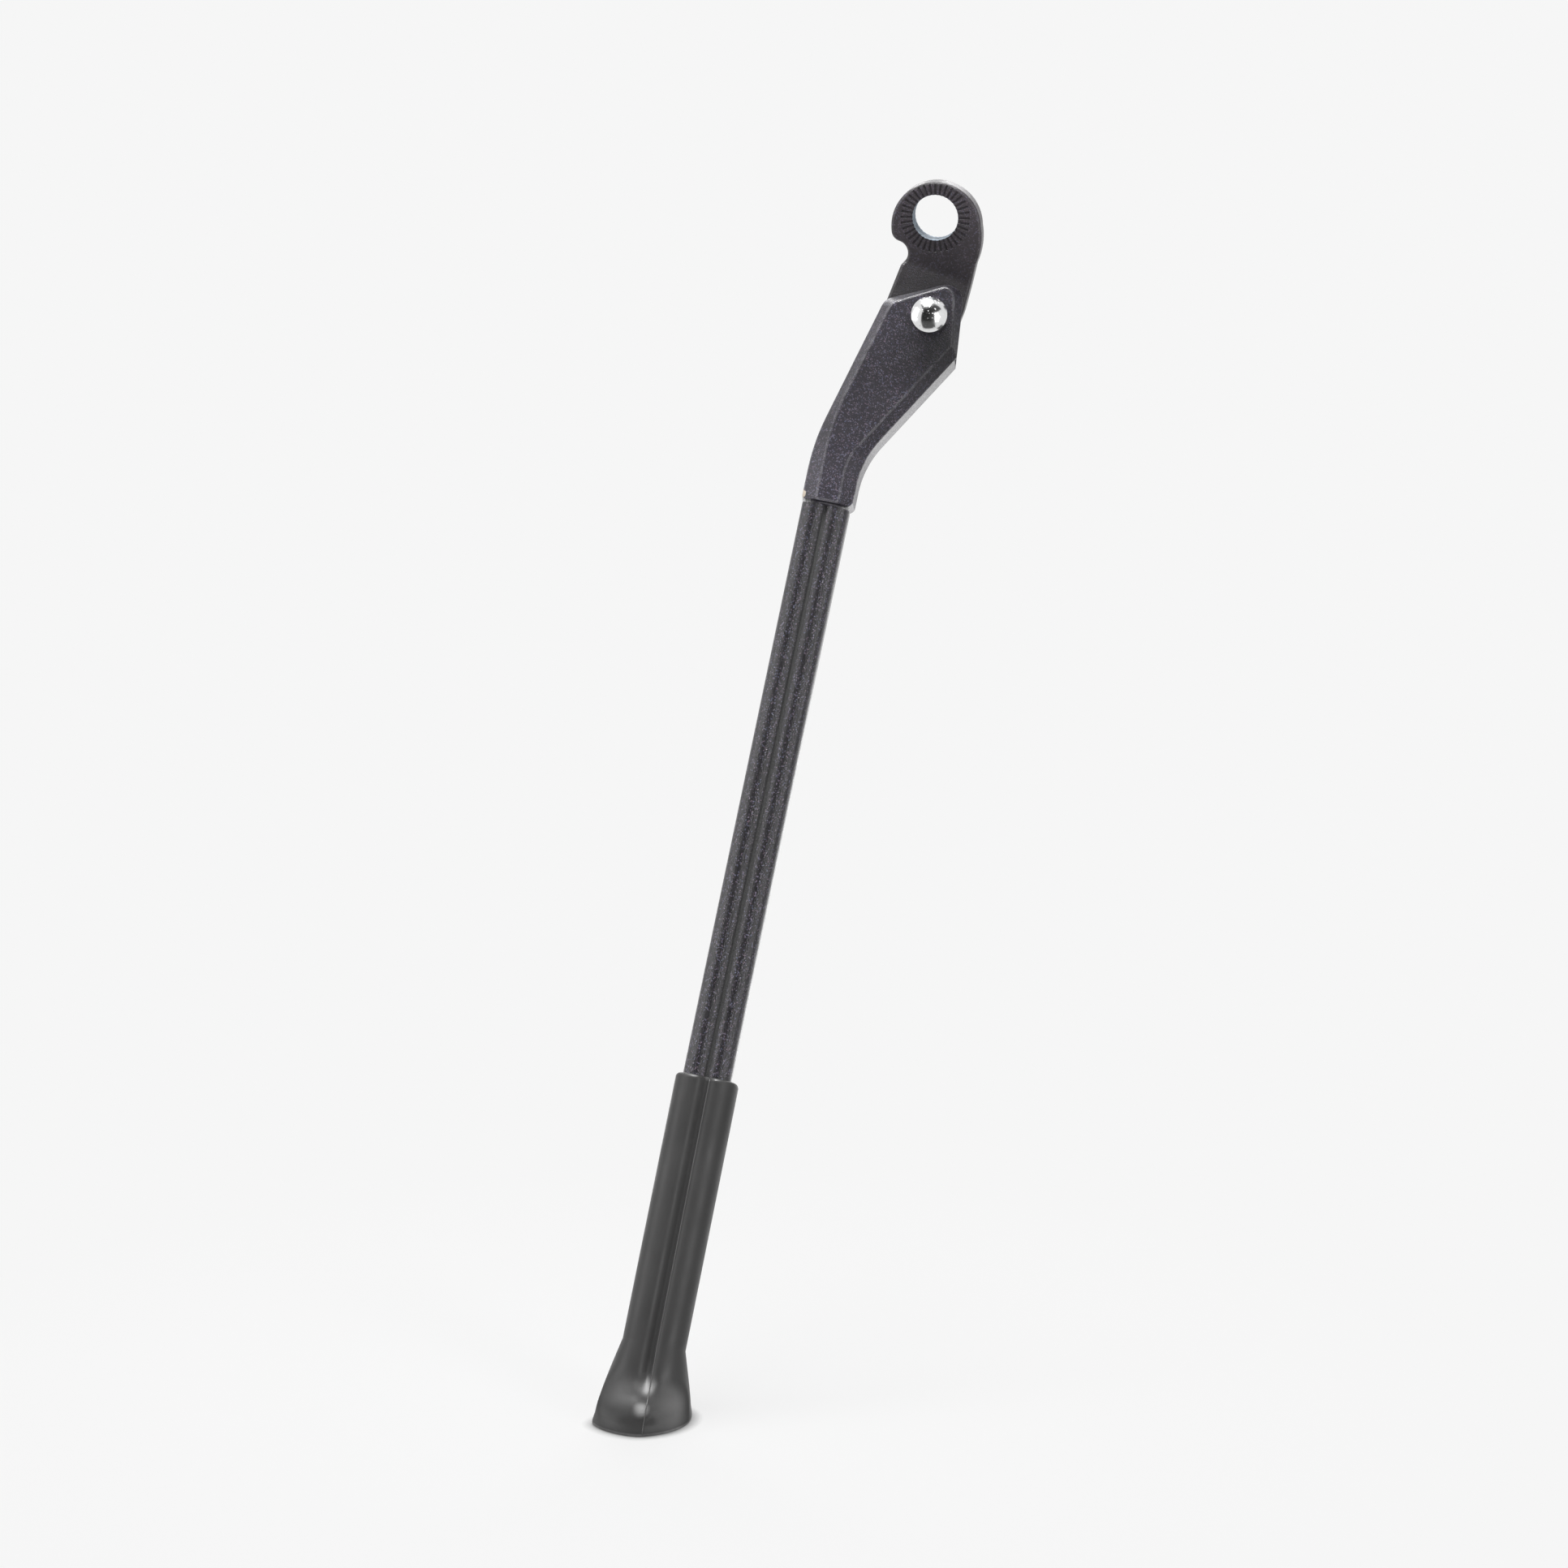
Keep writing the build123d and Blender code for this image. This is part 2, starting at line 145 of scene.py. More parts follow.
# Dark cards: name, centre, facing, width and height, and the share of the width that is left at one end
CARD_LEVEL = GROUND + 0.001
CARD_BLACK = (0.02, 0.02, 0.02, 1.0)
CARDS = (
    ("tall_card", (0.11, -3.0, 0.95), (0, 1, 0), (3.8, 2.5), 1.0),
    ("high_card", (0.85, -1.6, 2.2), (0, 0, -1), (4.3, 2.8), 1.0),
    ("low_card", (0.06, -1.65, CARD_LEVEL), (0, 0, 1), (3.8, 2.7), 0.10),
    ("floor_card", (0.42, 0.0, CARD_LEVEL), (0, 0, 1), (0.34, 0.45), 1.0),
    ("side_card", (1.10, 0.82, 0.35), (-0.80, -0.59, 0), (0.9, 1.2), 1.0),
)

# The Mix node's sockets for two colours and for their blend
MIX_COLOURS = (6, 7)
MIX_BLEND = 2


def tone(name, words, default):
    """A colour that a user can change."""
    return FloatVectorProperty(
        name=name, description=words, subtype="COLOR", size=3, min=0.0, max=1.0, default=default
    )


def length(name, words, default):
    """A length that a user can change."""
    return FloatProperty(name=name, description=words, unit="LENGTH", min=0.0, precision=5, default=default)


def power(name, words, default):
    """A lamp's power that a user can change, in watts."""
    return FloatProperty(name=name, description=words, unit="POWER", min=0.0, default=default)


def angle(name, words, default):
    """An angle that a user can change."""
    return FloatProperty(name=name, description=words, subtype="ANGLE", default=default)


class KickstandCoats(bpy.types.PropertyGroup):
    """Colours and grain of the coatings and bare metals."""

    bracket_black: tone("Bracket black", "Satin coat of the steel bracket", (0.054, 0.047, 0.053))
    head_charcoal: tone("Head charcoal", "Coat of the cast fork head", (0.0230, 0.0205, 0.0275))
    leg_grey: tone("Leg grey", "Coat of the extruded leg", (0.0125, 0.0115, 0.0143))
    cool_flake: tone("Cool flake", "Bluish metal flakes in the coats", (0.150, 0.165, 0.250))
    warm_flake: tone("Warm flake", "Reddish metal flakes in the coats", (0.215, 0.155, 0.195))
    bare_zinc: tone("Bare zinc", "Plated wall of the axle eye", (0.240, 0.290, 0.345))
    bare_casting: tone("Bare casting", "Chipped coat at the head's lip", (0.600, 0.520, 0.430))
    # Partly wear and partly a painted highlight along the head's edges
    worn_edge_highlight: tone("Rubbed edge", "Edges of the head polished by use", (0.310, 0.305, 0.325))
    chrome: tone("Chrome", "Polished rivet", (0.800, 0.800, 0.805))
    plain_steel: tone("Plain steel", "Pin, plunger and spring", (0.420, 0.415, 0.405))
    flake_size: length("Flake size", "Distance between the flakes", 0.00028)
    edge_radius: length("Edge radius", "Rounding of the head's edges in its finish", 0.0008)


class KickstandRubber(bpy.types.PropertyGroup):
    """Colour of the boot and the size of its moulding seam."""

    boot_grey: tone("Boot grey", "Moulded rubber of the foot", (0.045, 0.0445, 0.0445))
    # The seam ridge is coloured lighter than the boot as a painted highlight along it
    seam_highlight_grey: tone("Seam grey", "Polished ridge where the mould closed", (0.105, 0.104, 0.104))
    seam_half_w: length("Seam half width", "Half the width of the moulding seam", 0.00017)
    seam_top: length("Seam top", "Distance from the pivot down the leg to the seam's top", 0.2112)
    seam_end: length("Seam end", "Distance from the pivot down the leg to the seam's end", 0.3060)
    seam_steps: IntProperty(
        name="Seam steps", description="Stretches along the seam", min=8, max=400, default=120
    )


class KickstandStage(bpy.types.PropertyGroup):
    """Floor, lamps and camera."""

    backdrop: tone("Backdrop", "Pale floor and background", (0.922, 0.922, 0.922))
    floor_paint: tone("Floor paint", "Paint of the floor where light falls on it", (0.800, 0.800, 0.800))
    floor_bounce: tone("Floor bounce", "Light that the floor throws back at the part", (0.300, 0.300, 0.300))
    shadow_reach: length("Shadow reach", "How far from the foot the floor shows its shadow", 0.22)
    contact_reach: length("Contact reach", "How far from the sole the floor darkens", 0.0032)
    ambient: FloatProperty(
        name="Ambient",
        description="Strength of the light from all around",
        subtype="FACTOR",
        min=0.0,
        max=1.0,
        default=0.30,
    )
    top_power: power("Top power", "Power of the lamp overhead", 10.0)
    glint_power: power("Glint power", "Power of the overhead lamp that only shows as gloss", 80.0)
    left_power: power("Left power", "Power of the lamp on the left", 8.0)
    right_power: power("Right power", "Power of the lamp on the right", 12.5)
    fill_power: power("Fill power", "Power of the soft lamp beside the camera", 10.5)
    back_power: power("Back power", "Power of the lamp lying behind the part", 1.4)
    rear_power: power("Rear power", "Power of the lamp high behind the part", 11.0)
    lens: FloatProperty(
        name="Lens", description="Focal length of the camera", unit="CAMERA", min=1.0, default=172.53
    )
    sensor: FloatProperty(
        name="Sensor", description="Width of the camera's sensor", unit="CAMERA", min=1.0, default=36.0
    )
    camera_at: FloatVectorProperty(
        name="Camera place",
        description="Where the camera stands",
        subtype="TRANSLATION",
        unit="LENGTH",
        size=3,
        default=(0.25799, -1.96945, 0.32035),
    )
    camera_side: angle("Camera side", "How far the camera stands round to the right", radians(8.65))
    camera_lift: angle("Camera lift", "How far the camera looks down", radians(13.5))


class Shading:
    """A material's node tree, with short ways to add nodes and links."""

    def __init__(self, name):
        self.material = bpy.data.materials.new(name)
        self.material.use_nodes = True
        self.tree = self.material.node_tree
        self.tree.nodes.clear()
        self.output = self.tree.nodes.new("ShaderNodeOutputMaterial")
        self.shader = self.add("ShaderNodeBsdfPrincipled")
        self.tree.links.new(self.shader.outputs["BSDF"], self.output.inputs["Surface"])
        self.place = self.add("ShaderNodeTexCoord").outputs["Object"]

    def put(self, node, socket, value):
        """Links a socket to an input, or sets the input to a plain value."""
        if isinstance(value, bpy.types.NodeSocket):
            self.tree.links.new(value, node.inputs[socket])
        else:
            node.inputs[socket].default_value = value

    def add(self, kind, inputs=None, **settings):
        """A new node with its settings and inputs."""
        node = self.tree.nodes.new(kind)
        for name, value in settings.items():
            setattr(node, name, value)
        for socket, value in (inputs or {}).items():
            self.put(node, socket, value)
        return node

    def vector(self, operation, first, second=None):
        """The outputs of one vector sum."""
        inputs = {0: first} if second is None else {0: first, 1: second}
        return self.add("ShaderNodeVectorMath", inputs, operation=operation).outputs

    def math(self, operation, first, second):
        """One sum of two values."""
        return self.add("ShaderNodeMath", {0: first, 1: second}, operation=operation).outputs[0]

    def product(self, first, second):
        """Where two masks overlap, or one mask made weaker."""
        return self.math("MULTIPLY", first, second)

    def noise(self, scale, detail=2.0):
        """Soft noise with a number of grains to the metre."""
        inputs = {"Vector": self.place, "Scale": scale, "Detail": detail}
        return self.add("ShaderNodeTexNoise", inputs).outputs["Fac"]

    def remap(self, value, low, high, to_low=0.0, to_high=1.0, smooth=False):
        """A value moved from one range to another and held there."""
        inputs = {0: value, 1: low, 2: high, 3: to_low, 4: to_high}
        kind = "SMOOTHSTEP" if smooth else "LINEAR"
        return self.add("ShaderNodeMapRange", inputs, interpolation_type=kind).outputs[0]

    def spread(self, noise, low, high):
        """A noise spread out between two values."""
        return self.remap(noise, 0.3, 0.7, low, high)

    def scale(self, vector, share):
        """A colour or a direction made stronger or weaker."""
        inputs = {"Vector": vector, "Scale": share}
        return self.add("ShaderNodeVectorMath", inputs, operation="SCALE").outputs["Vector"]

    def blend(self, share, first, second):
        """A colour between two colours, each a socket or plain."""
        node = self.add("ShaderNodeMix", {0: share}, data_type="RGBA")
        for socket, value in zip(MIX_COLOURS, (first, second)):
            plain = not isinstance(value, bpy.types.NodeSocket)
            self.put(node, socket, (*value, 1.0) if plain else value)
        return node.outputs[MIX_BLEND]

    def cloudy(self, colour, dark, light, scale, detail=3.0):
        """A plain colour that drifts between a darker and a lighter tone."""
        drift = self.remap(self.noise(scale, detail), 0.35, 0.65)
        return self.blend(drift, [dark * part for part in colour], [light * part for part in colour])

    def tint(self, colour, mask, share, smooth=False):
        """A colour made stronger or weaker where a mask is one."""
        return self.scale(colour, self.remap(mask, 0.0, 1.0, 1.0, share, smooth))

    def roughen(self, mask, amount):
        """Adds to the shader's linked roughness where a mask is one."""
        before = self.shader.inputs["Roughness"].links[0].from_socket
        self.put(self.shader, "Roughness", self.math("ADD", before, self.product(mask, amount)))

    def near(self, point, reach, edge):
        """One inside a ball around a point, falling to zero over its soft edge."""
        away = self.vector("DISTANCE", self.place, point)["Value"]
        return self.remap(away, reach + edge, reach - edge)

    def along(self, direction, start):
        """Distance along a direction from a point."""
        away = self.vector("SUBTRACT", self.place, start)["Vector"]
        return self.vector("DOT_PRODUCT", away, direction)["Value"]

    def apart(self, direction, start):
        """Distance to either side of a plane through a point."""
        return self.math("ABSOLUTE", self.along(direction, start), 0.0)

    def bump(self, height, depth, strength, normal=None):
        """Small relief on the shader's normal."""
        node = self.add("ShaderNodeBump", {"Height": height, "Distance": depth, "Strength": strength})
        if normal:
            self.put(node, "Normal", normal)
        self.put(self.shader, "Normal", node.outputs["Normal"])


def wear_and_highlight_edges(look, colour, edge_highlight_colour, radius):
    """Edges rounded in the finish, worn and painted lighter as a highlight; returns the colour and the rounded
    normal.
    """
    rounded = look.add("ShaderNodeBevel", {"Radius": radius}, samples=6).outputs["Normal"]
    flat = look.add("ShaderNodeNewGeometry").outputs["Normal"]
    bend = look.vector("DOT_PRODUCT", rounded, flat)["Value"]
    patchy = look.remap(look.noise(scale=600.0), 0.3, 0.6)
    edge_highlight = look.product(look.remap(bend, 0.997, 0.95), patchy)
    return look.blend(edge_highlight, colour, edge_highlight_colour), rounded


def flake_coat(name, coat, coats, flake_share, flake_gain, roughness, gloss=0.35, edge=0.0):
    """A dark coat with fine metal flakes; returns the shading and its colour."""
    look = Shading(name)
    cells = look.add("ShaderNodeTexVoronoi", {"Vector": look.place, "Scale": 1.0 / coats.flake_size}).outputs
    chance = look.add("ShaderNodeSeparateColor", {"Color": cells["Color"]}).outputs
    shine = look.remap(chance["Red"], 1.0 - flake_share, 1.0, 0.0, flake_gain)
    flakes = look.blend(chance["Green"], coats.cool_flake, coats.warm_flake)
    ground = look.cloudy(coat, dark=0.86, light=1.16, scale=70.0)
    colour = look.blend(shine, ground, flakes)
    normal = None
    if edge:
        colour, normal = wear_and_highlight_edges(look, colour, coats.worn_edge_highlight, edge)
    orange_peel = look.noise(scale=1500.0)
    flake_relief = look.math("MULTIPLY", cells["Distance"], 400.0)
    grain = look.math("ADD", flake_relief, orange_peel)
    look.bump(grain, depth=0.00003, strength=0.18, normal=normal)
    satin = look.spread(look.noise(scale=220.0), low=roughness - 0.03, high=roughness + 0.03)
    look.put(look.shader, "Roughness", satin)
    look.roughen(shine, amount=-0.12)
    look.shader.inputs["Specular IOR Level"].default_value = gloss
    look.shader.inputs["Coat Weight"].default_value = 0.08
    look.shader.inputs["Coat Roughness"].default_value = 0.16
    return look, colour


def coat_node(node, material):
    """Gives a solid of the frame its material."""
    solid = frame["nodes"][node]
    solid.data.materials.clear()
    solid.data.materials.append(material)


class KICKSTAND_OT_coat_bracket(bpy.types.Operator):
    """Satin black on the bracket, with painted shade near the pivot, rough serrations darkened with painted shade,
    and the plated wall of the axle eye left bare
    """

    bl_idname = "kickstand.coat_bracket"
    bl_label = "Coat the bracket"

    def execute(self, context):
        coats = context.scene.kickstand_coats
        look, colour = flake_coat(
            "satin_black_coat", coats.bracket_black, coats, flake_share=0.30, flake_gain=0.50, roughness=0.36
        )
        # Painted shade: the coat is darker near the pivot, where the head shades the bracket
        painted_shade = look.near(PIVOT, reach=0.021, edge=0.010)
        colour = look.tint(colour, painted_shade, share=0.36)
        axes = look.add("ShaderNodeSeparateXYZ", {"Vector": look.place}).outputs
        level = look.add("ShaderNodeCombineXYZ", {"X": axes["X"], "Z": axes["Z"]}).outputs["Vector"]
        reach = look.vector("LENGTH", level)["Value"]
        # Painted shade: the serrations' grooves are darker, and also rougher
        depth = look.apart(BORE_LINE, EYE_MIDDLE)
        below_face = look.remap(depth, PLATE_HALF - 0.00001, PLATE_HALF - 0.00005)
        round_eye = look.remap(reach, SERRATED_R + 0.0001, SERRATED_R - 0.0001)
        serration_shade = look.product(below_face, round_eye)
        colour = look.tint(colour, serration_shade, share=0.60)
        look.roughen(serration_shade, amount=0.45)
        zinc = look.cloudy(coats.bare_zinc, dark=0.55, light=1.0, scale=900.0, detail=2.0)
        bare = look.remap(reach, BORE_R + 0.00008, BORE_R + 0.00002)
        look.put(look.shader, "Base Color", look.blend(bare, colour, zinc))
        look.put(look.shader, "Metallic", look.product(bare, 0.85))
        coat_node("mounting_bracket", look.material)
        return {"FINISHED"}


class KICKSTAND_OT_coat_head(bpy.types.Operator):
    """Charcoal flake coat on the cast fork head, with worn edges painted lighter as a highlight, painted light low
    on it and left of the rivet, painted shade right of the rivet, and a chip at its lower lip
    """

    bl_idname = "kickstand.coat_head"
    bl_label = "Coat the head"

    def execute(self, context):
        coats = context.scene.kickstand_coats
        look, colour = flake_coat(
            "charcoal_flake_coat",
            coats.head_charcoal,
            coats,
            flake_share=0.28,
            flake_gain=0.68,
            roughness=0.34,
            edge=coats.edge_radius,
        )
        # Painted light: the coat is lighter towards the head's lower end
        painted_light_below = look.remap(look.along(LEG_UP, PAINTED_LIGHT_BASE), 0.030, 0.0)
        colour = look.tint(colour, painted_light_below, share=1.45)
        # Painted light: the coat is lighter left of the rivet
        painted_light = look.near(PAINTED_LIGHT_AT, reach=0.0080, edge=0.0060)
        colour = look.tint(colour, painted_light, share=1.35)
        # Painted shade: the coat is darker right of the rivet, where its shadow falls
        painted_shade = look.near(PAINTED_SHADE_AT, reach=0.0095, edge=0.0075)
        colour = look.tint(colour, painted_shade, share=0.25)
        chip = look.near(CHIPPED, reach=0.0011, edge=0.0003)
        frayed = look.math("ADD", chip, look.noise(scale=1400.0))
        ragged = look.math("GREATER_THAN", frayed, 1.02)
        look.put(look.shader, "Base Color", look.blend(ragged, colour, coats.bare_casting))
        coat_node("pivot_head", look.material)
        return {"FINISHED"}


class KICKSTAND_OT_polish_rivet(bpy.types.Operator):
    """Polished chrome on the rivet, with faint smears and specks"""

    bl_idname = "kickstand.polish_rivet"
    bl_label = "Polish the rivet"

    def execute(self, context):
        coats = context.scene.kickstand_coats
        look = Shading("polished_chrome")
        smear = look.noise(scale=420.0, detail=4.0)
        dull = [0.90 * part for part in coats.chrome]
        look.put(look.shader, "Base Color", look.blend(smear, dull, coats.chrome))
        look.put(look.shader, "Roughness", look.spread(smear, low=0.12, high=0.20))
        grains = look.add("ShaderNodeTexVoronoi", {"Vector": look.place, "Scale": 3200.0}).outputs
        chance = look.add("ShaderNodeSeparateColor", {"Color": grains["Color"]}).outputs
        specks = look.remap(chance["Red"], 0.95, 0.97)
        look.roughen(specks, amount=0.25)
        look.shader.inputs["Metallic"].default_value = 1.0
        look.bump(look.noise(scale=2600.0), depth=0.000006, strength=0.5)
        coat_node("pivot_rivet", look.material)
        return {"FINISHED"}


class KICKSTAND_OT_coat_leg(bpy.types.Operator):
    """Speckled grey coat on the extruded leg with painted shade in its rougher groove, and plain steel on its pin
    and the hidden detent
    """

    bl_idname = "kickstand.coat_leg"
    bl_label = "Coat the leg"

    def execute(self, context):
        coats = context.scene.kickstand_coats
        look, colour = flake_coat(
            "speckled_grey_coat",
            coats.leg_grey,
            coats,
            flake_share=0.22,
            flake_gain=0.95,
            roughness=0.30,
            gloss=0.50,
        )
        # Painted shade: the groove is darker, and also rougher
        groove_shade = look.remap(look.apart(LEG_ACROSS, TUBE_GROOVE), 0.0010, 0.0004)
        look.put(look.shader, "Base Color", look.tint(colour, groove_shade, share=0.05))
        look.roughen(groove_shade, amount=0.35)
        coat_node("leg_tube", look.material)
        steel = Shading("plain_steel")
        drawn = steel.noise(scale=900.0, detail=4.0)
        dull = [0.75 * part for part in coats.plain_steel]
        steel.put(steel.shader, "Base Color", steel.blend(drawn, dull, coats.plain_steel))
        steel.put(steel.shader, "Roughness", steel.spread(drawn, low=0.28, high=0.42))
        steel.shader.inputs["Metallic"].default_value = 1.0
        steel.bump(steel.noise(scale=3000.0), depth=0.00001, strength=0.4)
        for node in ("leg_pin", "detent_plunger", "detent_spring"):
            coat_node(node, steel.material)
        return {"FINISHED"}


def swelled(look, swells):
    """The surface's normal, leaning over each swell and turning with the piece."""
    normal = look.add("ShaderNodeNewGeometry").outputs["Normal"]
    for place, reach, lean, share in swells:
        away = look.vector("DISTANCE", look.place, place)["Value"]
        near = look.remap(away, reach, 0.0, to_high=share, smooth=True)
        turned = look.add(
            "ShaderNodeVectorTransform", {"Vector": lean}, convert_from="OBJECT", convert_to="WORLD"
        )
        push = look.scale(turned.outputs["Vector"], near)
        normal = look.vector("ADD", normal, push)["Vector"]
    return look.vector("NORMALIZE", normal)["Vector"]


def rubber(name, colour, roughness, swells=()):
    """Moulded rubber with a fine grain; returns the shading and its colour."""
    look = Shading(name)
    ground = look.cloudy(colour, dark=0.90, light=1.14, scale=45.0)
    look.put(look.shader, "Base Color", ground)
    worn = look.noise(scale=130.0, detail=3.0)
    satin = look.spread(worn, low=roughness - 0.05, high=roughness + 0.06)
    look.put(look.shader, "Roughness", satin)
    normal = swelled(look, swells) if swells else None
    look.bump(look.noise(scale=2400.0, detail=3.0), depth=0.00002, strength=0.45, normal=normal)
    look.shader.inputs["Specular IOR Level"].default_value = 0.26
    return look, ground


def placed(context, name, data):
    """A new object in the scene's collection."""
    piece = bpy.data.objects.new(name, data)
    context.scene.collection.objects.link(piece)
    return piece


def finished_mesh(name, shape, material):
    """A mesh with one material, made from a bmesh that is done with."""
    mesh = bpy.data.meshes.new(name)
    shape.to_mesh(mesh)
    shape.free()
    mesh.materials.append(material)
    return mesh


class KICKSTAND_OT_mould_boot(bpy.types.Operator):
    """Rubber on the boot, and the ridge where its mould closed"""

    bl_idname = "kickstand.mould_boot"
    bl_label = "Mould the boot"

    def finish_boot(self, settings):
        """Rubber with painted shade in its rougher groove and in the foot's crease, a painted highlight on the
        foot and a painted highlight along the rim.
        """
        look, colour = rubber("moulded_rubber", settings.boot_grey, roughness=0.42, swells=SWELLS)
        above = look.remap(look.along(LEG_UP, GROOVE_END), -0.002, 0.002)
        front = look.remap(look.along(OUTBOARD, PIVOT), 0.0, 0.001)
        # Painted shade in the groove, which is also rougher
        groove_shade = look.remap(look.apart(LEG_ACROSS, BOOT_GROOVE), 0.0015, 0.0006)
        groove_shade = look.product(groove_shade, look.product(above, front))
        groove_shade_colour = [0.55 * part for part in settings.boot_grey]
        colour = look.blend(look.product(groove_shade, 0.5), colour, groove_shade_colour)
        # Painted shade in the crease round the foot, on its left side
        crease_shade = look.remap(look.apart(UPWARD, CREASE_LEVEL), 0.0022, 0.0003)
        leftward = look.remap(look.along(LEG_ACROSS, CREASE_END), 0.0, -0.004)
        colour = look.tint(colour, look.product(crease_shade, leftward), share=0.62)
        # Painted highlight: the rubber is lighter on the foot's right side
        painted_sheen = look.near(PAINTED_SHEEN_AT, reach=0.0042, edge=0.0038)
        colour = look.tint(colour, painted_sheen, share=2.6, smooth=True)
        # Painted highlight: a broken lighter line along the sole's rim
        rim = look.remap(look.along(UPWARD, SOLE_LEVEL), 0.0010, 0.0006)
        rim_highlight = look.product(rim, look.noise(scale=300.0))
        colour = look.tint(colour, rim_highlight, share=5.0)
        look.put(look.shader, "Base Color", colour)
        look.roughen(above, amount=0.05)
        look.roughen(groove_shade, amount=0.30)
        coat_node("foot_boot", look.material)

    def seam_side(self, share):
        """How far across the leg the seam runs, at a share of its length."""
        on_sleeve = min(1.0, share / SLEEVE_SHARE)
        on_foot = max(0.0, share - SLEEVE_SHARE) / (1.0 - SLEEVE_SHARE)
        return SEAM_START + SLEEVE_DRIFT * on_sleeve + FOOT_DRIFT * on_foot

    def seam_shape(self, settings):
        """A thin ridge drawn down the front of the boot."""
        boot = frame["nodes"]["foot_boot"]
        ridge = bmesh.new()
        loop = bmesh.ops.create_circle(
            ridge, cap_ends=True, segments=SEAM_CORNERS, radius=settings.seam_half_w
        )
        turn = LEG_UP.to_track_quat("Z", "Y").to_matrix()
        bmesh.ops.rotate(ridge, cent=(0, 0, 0), matrix=turn, verts=loop["verts"])
        at = Vector((0, 0, 0))
        edges = list(ridge.edges)
        tip = list(ridge.verts)
        for step in range(settings.seam_steps + 1):
            share = step / settings.seam_steps
            down = settings.seam_top + (settings.seam_end - settings.seam_top) * share
            start = on_leg(self.seam_side(share), -down, BEFORE_BOOT)
            hit, point = boot.ray_cast(start, -OUTBOARD)[:2]
            if not hit:
                raise RuntimeError("the moulding seam leaves the boot")
            if step:
                drawn = bmesh.ops.extrude_edge_only(ridge, edges=edges)["geom"]
                tip = [item for item in drawn if isinstance(item, bmesh.types.BMVert)]
                edges = [item for item in drawn if isinstance(item, bmesh.types.BMEdge)]
                edges = [edge for edge in edges if all(vert in tip for vert in edge.verts)]
            bmesh.ops.translate(ridge, vec=point - at, verts=tip)
            at = point.copy()
        bmesh.ops.contextual_create(ridge, geom=edges)
        bmesh.ops.recalc_face_normals(ridge, faces=list(ridge.faces))
        for face in ridge.faces:
            face.smooth = True
        return ridge

    def execute(self, context):
        settings = context.scene.kickstand_rubber
        self.finish_boot(settings)
        ridge = self.seam_shape(settings)
        look = rubber("seam_rubber", settings.seam_highlight_grey, roughness=0.38)[0]
        seam = placed(context, "boot_seam", finished_mesh("boot_seam", ridge, look.material))
        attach(seam, "leg")
        return {"FINISHED"}


def studio_card(context, name, centre, facing, size, taper):
    """A dark card out of the picture, narrower at one end, which only shows as a reflection."""
    card = bmesh.new()
    bmesh.ops.create_grid(card, x_segments=1, y_segments=1, size=0.5)
    end = [vert for vert in card.verts if vert.co.y < 0]
    bmesh.ops.scale(card, vec=(taper, 1.0, 1.0), verts=end)
    bmesh.ops.scale(card, vec=(*size, 1.0), verts=list(card.verts))
    turn = Vector(facing).to_track_quat("Z", "Y").to_matrix()
    bmesh.ops.rotate(card, cent=(0, 0, 0), matrix=turn, verts=list(card.verts))
    bmesh.ops.translate(card, vec=centre, verts=list(card.verts))
    look = Shading(name)
    look.shader.inputs["Base Color"].default_value = CARD_BLACK
    look.shader.inputs["Roughness"].default_value = 0.9
    piece = placed(context, name, finished_mesh(name, card, look.material))
    piece.visible_camera = False
    piece.visible_diffuse = False
    piece.visible_shadow = False


def aim_at(piece, place, direction):
    """Sets a lamp or the camera in its place, looking along a direction."""
    piece.location = place
    piece.rotation_mode = "QUATERNION"
    piece.rotation_quaternion = direction.to_track_quat("-Z", "Y")


def studio_lamp(context, name, place, aim, size, watts, gloss, matt):
    """A soft lamp aimed at a point, which may light only gloss or only matt surfaces."""
    light = bpy.data.lights.new(name, "AREA")
    light.shape = "RECTANGLE"
    light.size, light.size_y = size
    light.energy = watts
    piece = placed(context, name, light)
    aim_at(piece, place, aim - Vector(place))
    piece.visible_glossy = gloss
    piece.visible_diffuse = matt
    piece.visible_camera = False


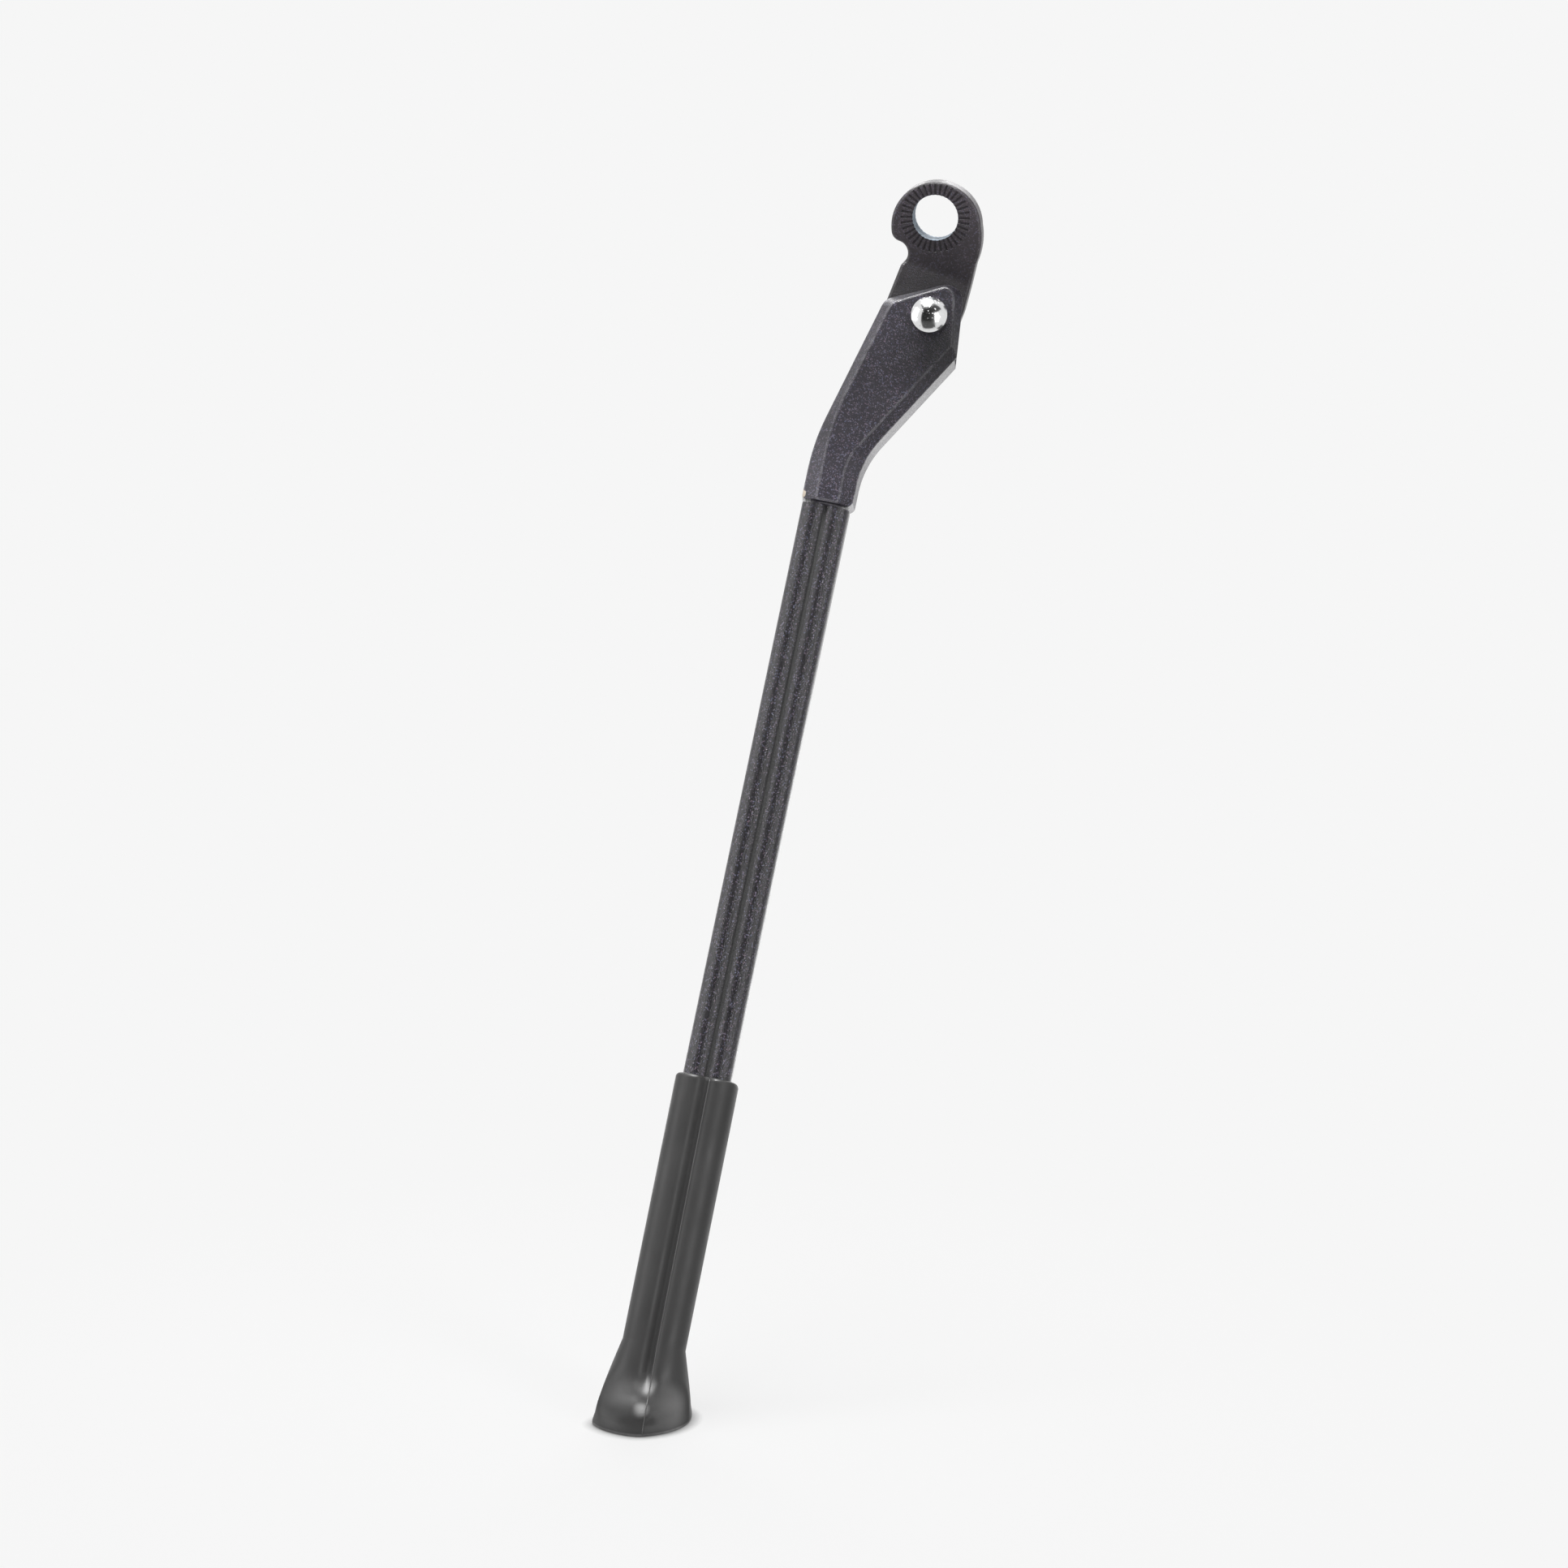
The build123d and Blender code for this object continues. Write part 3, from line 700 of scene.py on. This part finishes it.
class KICKSTAND_OT_set_stage(bpy.types.Operator):
    """Pale floor, soft lamps, pale surroundings and the camera"""

    bl_idname = "kickstand.set_stage"
    bl_label = "Set the stage"

    def seen(self, tree):
        """One for what the camera, a reflection or clear glass sees."""
        rays = tree.nodes.new("ShaderNodeLightPath")
        total = rays.outputs["Is Camera Ray"]
        for ray in ("Is Glossy Ray", "Is Transmission Ray"):
            node = tree.nodes.new("ShaderNodeMath")
            node.operation = "MAXIMUM"
            tree.links.new(total, node.inputs[0])
            tree.links.new(rays.outputs[ray], node.inputs[1])
            total = node.outputs[0]
        return total

    def floor_finish(self, settings):
        """Paint that keeps the foot's shadow and glows in the backdrop's colour away from it."""
        look = Shading("pale_floor")
        look.shader.inputs["Roughness"].default_value = 0.9
        look.shader.inputs["Specular IOR Level"].default_value = 0.1
        seen = self.seen(look.tree)
        # Painted contact shadow: the floor's paint and glow darken close to the part
        inputs = {"Distance": settings.contact_reach}
        corner = look.add("ShaderNodeAmbientOcclusion", inputs, samples=2).outputs["AO"]
        shade = look.remap(corner, 0.45, 0.90, to_low=0.30)
        paint = look.blend(seen, settings.floor_bounce, settings.floor_paint)
        look.put(look.shader, "Base Color", look.scale(paint, shade))
        glow = look.add("ShaderNodeEmission", {"Color": (*settings.backdrop, 1.0), "Strength": shade})
        foot = (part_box("foot_boot")[0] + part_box("foot_boot")[1]) / 2
        reach = look.vector("DISTANCE", look.place, (foot.x, foot.y, GROUND))["Value"]
        close = look.remap(reach, FOOT_R, NEAR_R, FOOT_GLOW, NEAR_GLOW)
        far = look.remap(reach, NEAR_R, settings.shadow_reach, to_low=NEAR_GLOW)
        share = look.product(seen, look.math("MAXIMUM", close, far))
        inputs = {0: share, 1: look.shader.outputs["BSDF"], 2: glow.outputs["Emission"]}
        mix = look.add("ShaderNodeMixShader", inputs)
        look.put(look.output, "Surface", mix.outputs["Shader"])
        return look.material

    def floor(self, context, settings):
        """A wide floor under the sole."""
        sheet = bmesh.new()
        bmesh.ops.create_grid(sheet, x_segments=1, y_segments=1, size=FLOOR_HALF)
        bmesh.ops.translate(sheet, vec=(0, 0, GROUND - FLOOR_GAP), verts=list(sheet.verts))
        mesh = finished_mesh("floor", sheet, self.floor_finish(settings))
        piece = placed(context, "floor", mesh)

    def surroundings(self, context, settings):
        """A pale world that lights the part softly."""
        world = bpy.data.worlds.new("pale_studio")
        world.use_nodes = True
        tree = world.node_tree
        tree.nodes.clear()
        output = tree.nodes.new("ShaderNodeOutputWorld")
        mix = tree.nodes.new("ShaderNodeMixShader")
        tree.links.new(self.seen(tree), mix.inputs[0])
        for socket, strength in ((1, settings.ambient), (2, 1.0)):
            sky = tree.nodes.new("ShaderNodeBackground")
            sky.inputs["Color"].default_value = (*settings.backdrop, 1.0)
            sky.inputs["Strength"].default_value = strength
            tree.links.new(sky.outputs["Background"], mix.inputs[socket])
        tree.links.new(mix.outputs["Shader"], output.inputs["Surface"])
        context.scene.world = world

    def camera(self, context, settings):
        """The camera at the photograph's viewing angle."""
        view = bpy.data.cameras.new("camera")
        view.sensor_width = settings.sensor
        view.lens = settings.lens
        piece = placed(context, "camera", view)
        side = settings.camera_side
        lift = settings.camera_lift
        ahead = Vector((-sin(side) * cos(lift), cos(side) * cos(lift), -sin(lift)))
        aim_at(piece, settings.camera_at, ahead)
        context.scene.camera = piece

    def execute(self, context):
        settings = context.scene.kickstand_stage
        self.floor(context, settings)
        self.surroundings(context, settings)
        for name, place, aim, size, setting, gloss, matt in LAMPS:
            studio_lamp(context, name, place, aim, size, getattr(settings, setting), gloss, matt)
        for card in CARDS:
            studio_card(context, *card)
        self.camera(context, settings)
        context.scene.view_settings.view_transform = "Standard"
        return {"FINISHED"}


class KICKSTAND_PT_panel(bpy.types.Panel):
    """Finishes and stage of the kickstand"""

    bl_label = "Kickstand"
    bl_idname = "KICKSTAND_PT_panel"
    bl_space_type = "VIEW_3D"
    bl_region_type = "UI"
    bl_category = "Kickstand"

    def draw(self, context):
        for group in GROUPS:
            settings = getattr(context.scene, group)
            for name in settings.bl_rna.properties.keys():
                if name not in ("rna_type", "name"):
                    self.layout.prop(settings, name)
        for step in STEPS:
            self.layout.operator(step.bl_idname)


GROUPS = {
    "kickstand_coats": KickstandCoats,
    "kickstand_rubber": KickstandRubber,
    "kickstand_stage": KickstandStage,
}
STEPS = (
    KICKSTAND_OT_coat_bracket,
    KICKSTAND_OT_coat_head,
    KICKSTAND_OT_polish_rivet,
    KICKSTAND_OT_coat_leg,
    KICKSTAND_OT_mould_boot,
    KICKSTAND_OT_set_stage,
)


def register():
    for group, kind in GROUPS.items():
        bpy.utils.register_class(kind)
        setattr(bpy.types.Scene, group, PointerProperty(type=kind))
    for kind in (*STEPS, KICKSTAND_PT_panel):
        bpy.utils.register_class(kind)


def unregister():
    for kind in (KICKSTAND_PT_panel, *reversed(STEPS)):
        bpy.utils.unregister_class(kind)
    for group, kind in reversed(GROUPS.items()):
        delattr(bpy.types.Scene, group)
        bpy.utils.unregister_class(kind)


def main():
    register()
    bpy.ops.kickstand.coat_bracket()
    bpy.ops.kickstand.coat_head()
    bpy.ops.kickstand.polish_rivet()
    bpy.ops.kickstand.coat_leg()
    bpy.ops.kickstand.mould_boot()
    bpy.ops.kickstand.set_stage()


if __name__ == "__main__":
    main()
